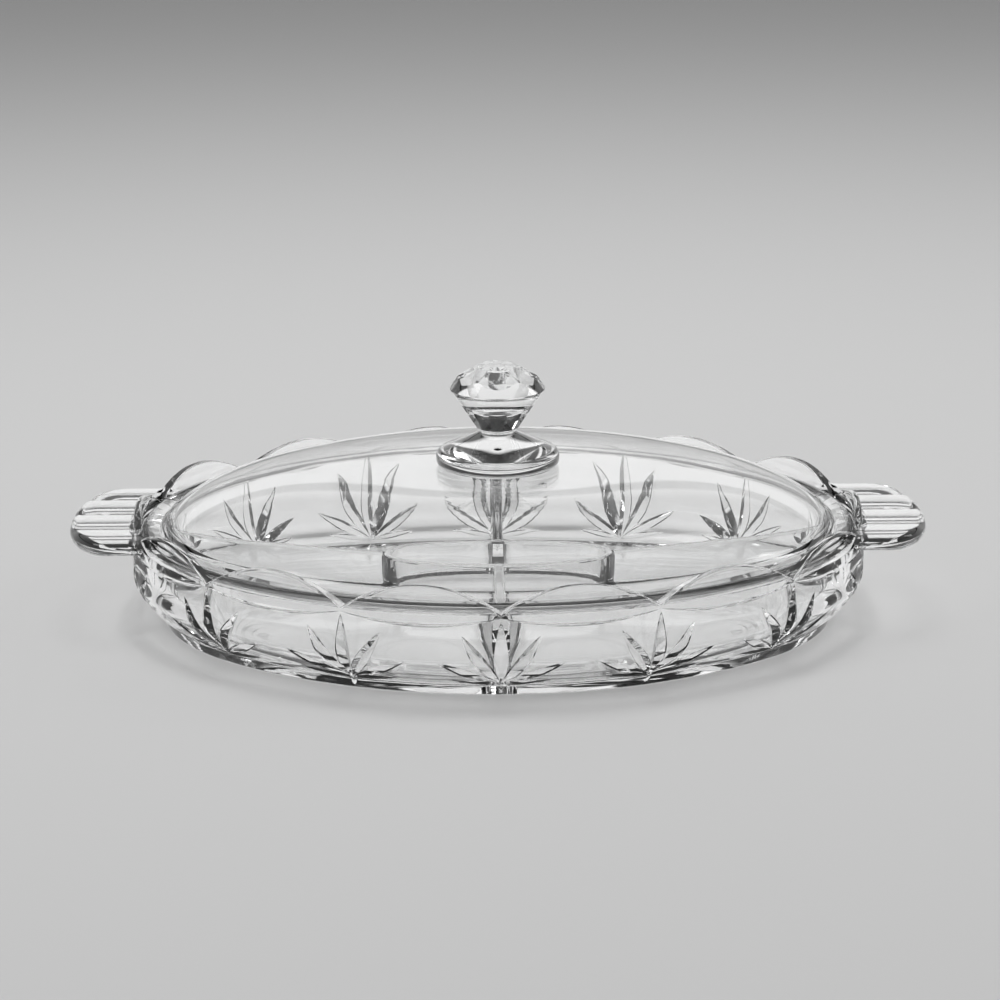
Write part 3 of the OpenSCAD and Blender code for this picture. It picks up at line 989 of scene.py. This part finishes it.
deselect()
bpy.ops.mesh.primitive_circle_add(vertices=128, radius=floor_r, fill_type="NGON",
                                  location=(0, 0, -floor_drop))
floor = bpy.context.object
floor.name = "floor"
paper, tree = new_material("pale_paper")
seen_plain, seen_in_glass = (
    add_node(tree, "ShaderNodeBsdfPrincipled", {}, {
        "Base Color": (grey, grey, grey, 1), "Roughness": 0.9, "Specular IOR Level": 0.2})["BSDF"]
    for grey in (FLOOR_GREY, FLOOR_GREY_IN_GLASS))
ray = add_node(tree, "ShaderNodeLightPath")
paper_look = add_node(tree, "ShaderNodeMixShader", {}, {
    0: ray["Is Camera Ray"], 1: seen_in_glass, 2: seen_plain})["Shader"]
add_node(tree, "ShaderNodeOutputMaterial", {}, {"Surface": paper_look})
floor.data.materials.append(paper)
print("floor", 2 * floor_r, "m across")

# %% World
# Stops of the two rooms: the height of a direction, from 0 level to 1 straight up, and its grey
MIRRORED_ROOM = ((0.33, 0.95), (0.345, 0.02), (0.38, 0.02), (0.4, 0.8), (0.93, 0.9))
ROOM_THROUGH_GLASS = ((0.04, 0.95), (0.08, 0.03), (0.24, 0.03), (0.265, 0.92),
                      (0.35, 0.92), (0.41, 0.03), (0.84, 0.03), (0.93, 0.9))
FILL = 0.3

world = bpy.data.worlds.new("studio")
bpy.context.scene.world = world
world.use_nodes = True
tree = world.node_tree
tree.nodes.clear()
ray = add_node(tree, "ShaderNodeLightPath")
way = add_node(tree, "ShaderNodeSeparateXYZ", {}, {
    0: add_node(tree, "ShaderNodeTexCoord")["Generated"]})
rooms = [add_node(tree, "ShaderNodeValToRGB", {"stops": stops}, {0: way["Z"]})["Color"]
         for stops in (MIRRORED_ROOM, ROOM_THROUGH_GLASS)]
mirrored_room, room_through = (add_node(tree, "ShaderNodeBackground", {}, {0: room})["Background"]
                               for room in rooms)
shown = add_node(tree, "ShaderNodeMixShader", {}, {
    0: ray["Is Transmission Ray"], 1: mirrored_room, 2: room_through})["Shader"]
fill = add_node(tree, "ShaderNodeBackground", {}, {0: (1, 1, 1, 1), "Strength": FILL})["Background"]
seen = ray["Is Camera Ray"] + ray["Is Glossy Ray"] + ray["Is Transmission Ray"]
surface = add_node(tree, "ShaderNodeMixShader", {}, {0: seen, 1: fill, 2: shown})["Shader"]
add_node(tree, "ShaderNodeOutputWorld", {}, {"Surface": surface})
print("world", len(tree.nodes), "nodes")

# %% [markdown]
# Three soft lamps light the dish: one overhead and one at each side. A sun would give hard shadows, and
# a large lamp near the dish soft ones, like a studio's. The glass shows the lamps at the sides, but the
# overhead one is hidden from it, because its reflection would cover the top of the dome.

# %% Lamps
DISH_MIDDLE = Vector((0, 0, 40 * mm))


def softbox(name, place, size, watts):
    """A large soft lamp that faces the dish."""
    data = bpy.data.lights.new(name, "AREA")
    data.shape = "RECTANGLE"
    data.size, data.size_y = size
    data.energy = watts
    lamp = bpy.data.objects.new(name, data)
    bpy.context.collection.objects.link(lamp)
    lamp.location = place
    lamp.rotation_euler = (DISH_MIDDLE - Vector(place)).to_track_quat("-Z", "Y").to_euler()
    return lamp


overhead = softbox("overhead_softbox", place=(0, 0.35, 1.7), size=(0.6, 0.6), watts=18)
overhead.visible_glossy = False
overhead.visible_transmission = False
softbox("left_softbox", place=(-2.0, -0.8, 1.6), size=(0.8, 1.2), watts=10)
softbox("right_softbox", place=(2.2, 0.4, 1.3), size=(0.5, 1.2), watts=6)
print("lamps", [light.name for light in bpy.data.lights])

# %% [markdown]
# # The camera
# The photograph was taken from 17 degrees above the table and a metre away, almost square to the dish.

# %% Camera
elevation = math.radians(17.0)
azimuth = math.radians(-0.46)
camera_roll = math.radians(-0.29)
camera_distance = 1.0
sensor_w = 36
lens_to_sensor = 2.5
back = Vector((math.sin(azimuth) * math.cos(elevation), -math.cos(azimuth) * math.cos(elevation),
               math.sin(elevation)))
camera_data = bpy.data.cameras.new("camera")
camera = bpy.data.objects.new("camera", camera_data)
bpy.context.collection.objects.link(camera)
turn = back.to_track_quat("Z", "Y").to_matrix().to_4x4()
camera.matrix_world = (Matrix.Translation(DISH_MIDDLE + camera_distance * back) @ turn
                       @ Matrix.Rotation(camera_roll, 4, "Z"))
camera_data.sensor_width = sensor_w
camera_data.lens = sensor_w * lens_to_sensor * camera_distance
camera_data.shift_x = 0.002
camera_data.shift_y = 0.008
bpy.context.scene.camera = camera
bpy.context.scene.view_settings.view_transform = "Standard"
print("camera at", list(camera.matrix_world.translation))

# %% The scene brought up to date
bpy.context.view_layer.update()
